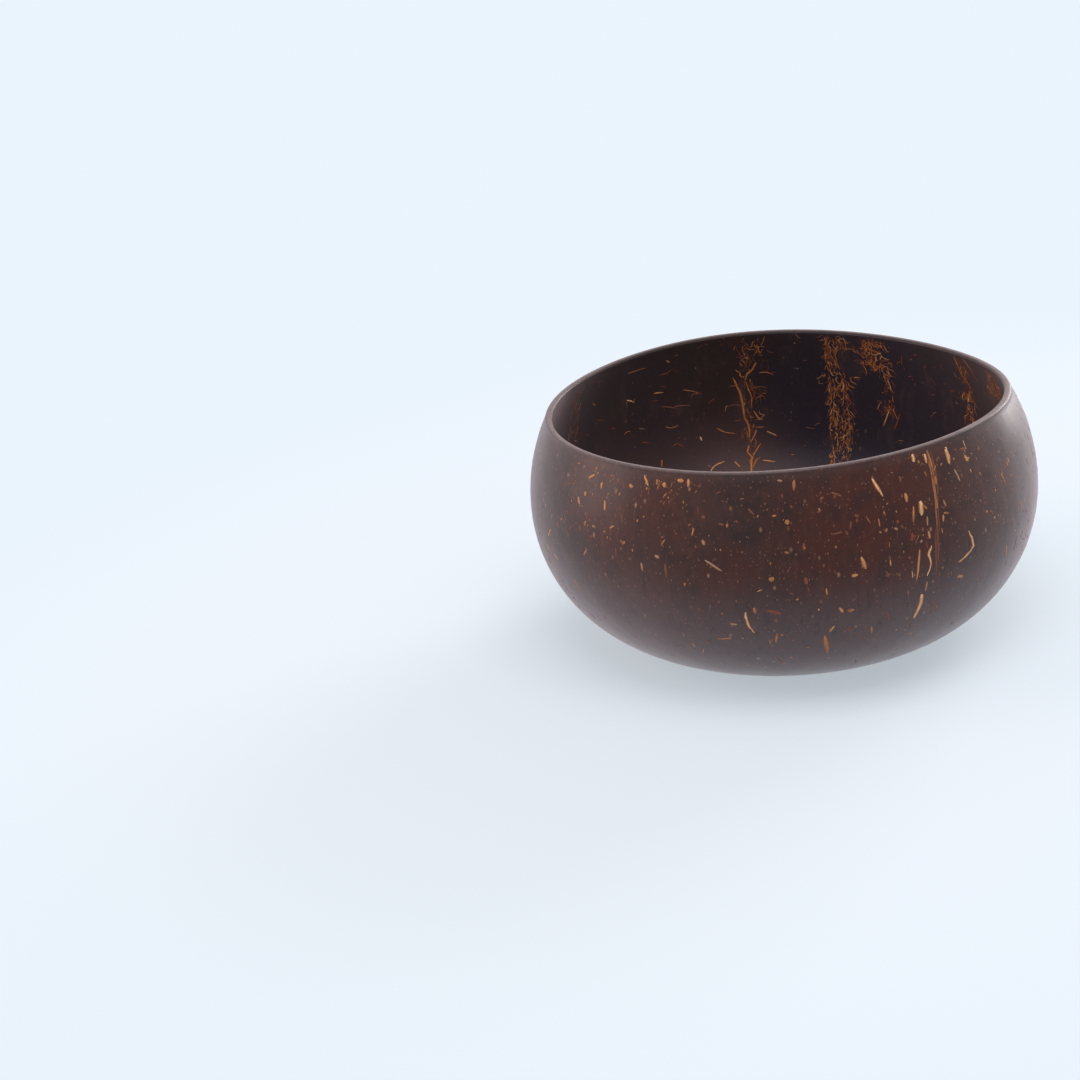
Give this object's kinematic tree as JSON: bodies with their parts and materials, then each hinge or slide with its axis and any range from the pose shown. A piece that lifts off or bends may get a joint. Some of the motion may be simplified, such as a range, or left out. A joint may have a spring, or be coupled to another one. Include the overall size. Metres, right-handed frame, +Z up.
{
  "type": "coconut shell bowl",
  "caption": "Deep drinking and serving bowl made from a polished coconut shell, drawn in at the mouth, with a flat base and filled eyes.",
  "frame": {"origin": "middle of the sanded flat base, where the three eyes of the nut stand around it", "axes": "+Z up through the mouth, -Y towards the viewer of the picture, +X to that viewer's right"},
  "size_m": [0.142, 0.142, 0.0682],
  "materials": {
    "polished_shell": "satin",
    "eye_filler": "satin"
  },
  "bodies": {
    "root": {"shell": "polished_shell", "soft_eye_plug": "eye_filler", "left_eye_fill": "eye_filler", "right_eye_fill": "eye_filler"}
  },
  "joints": []
}
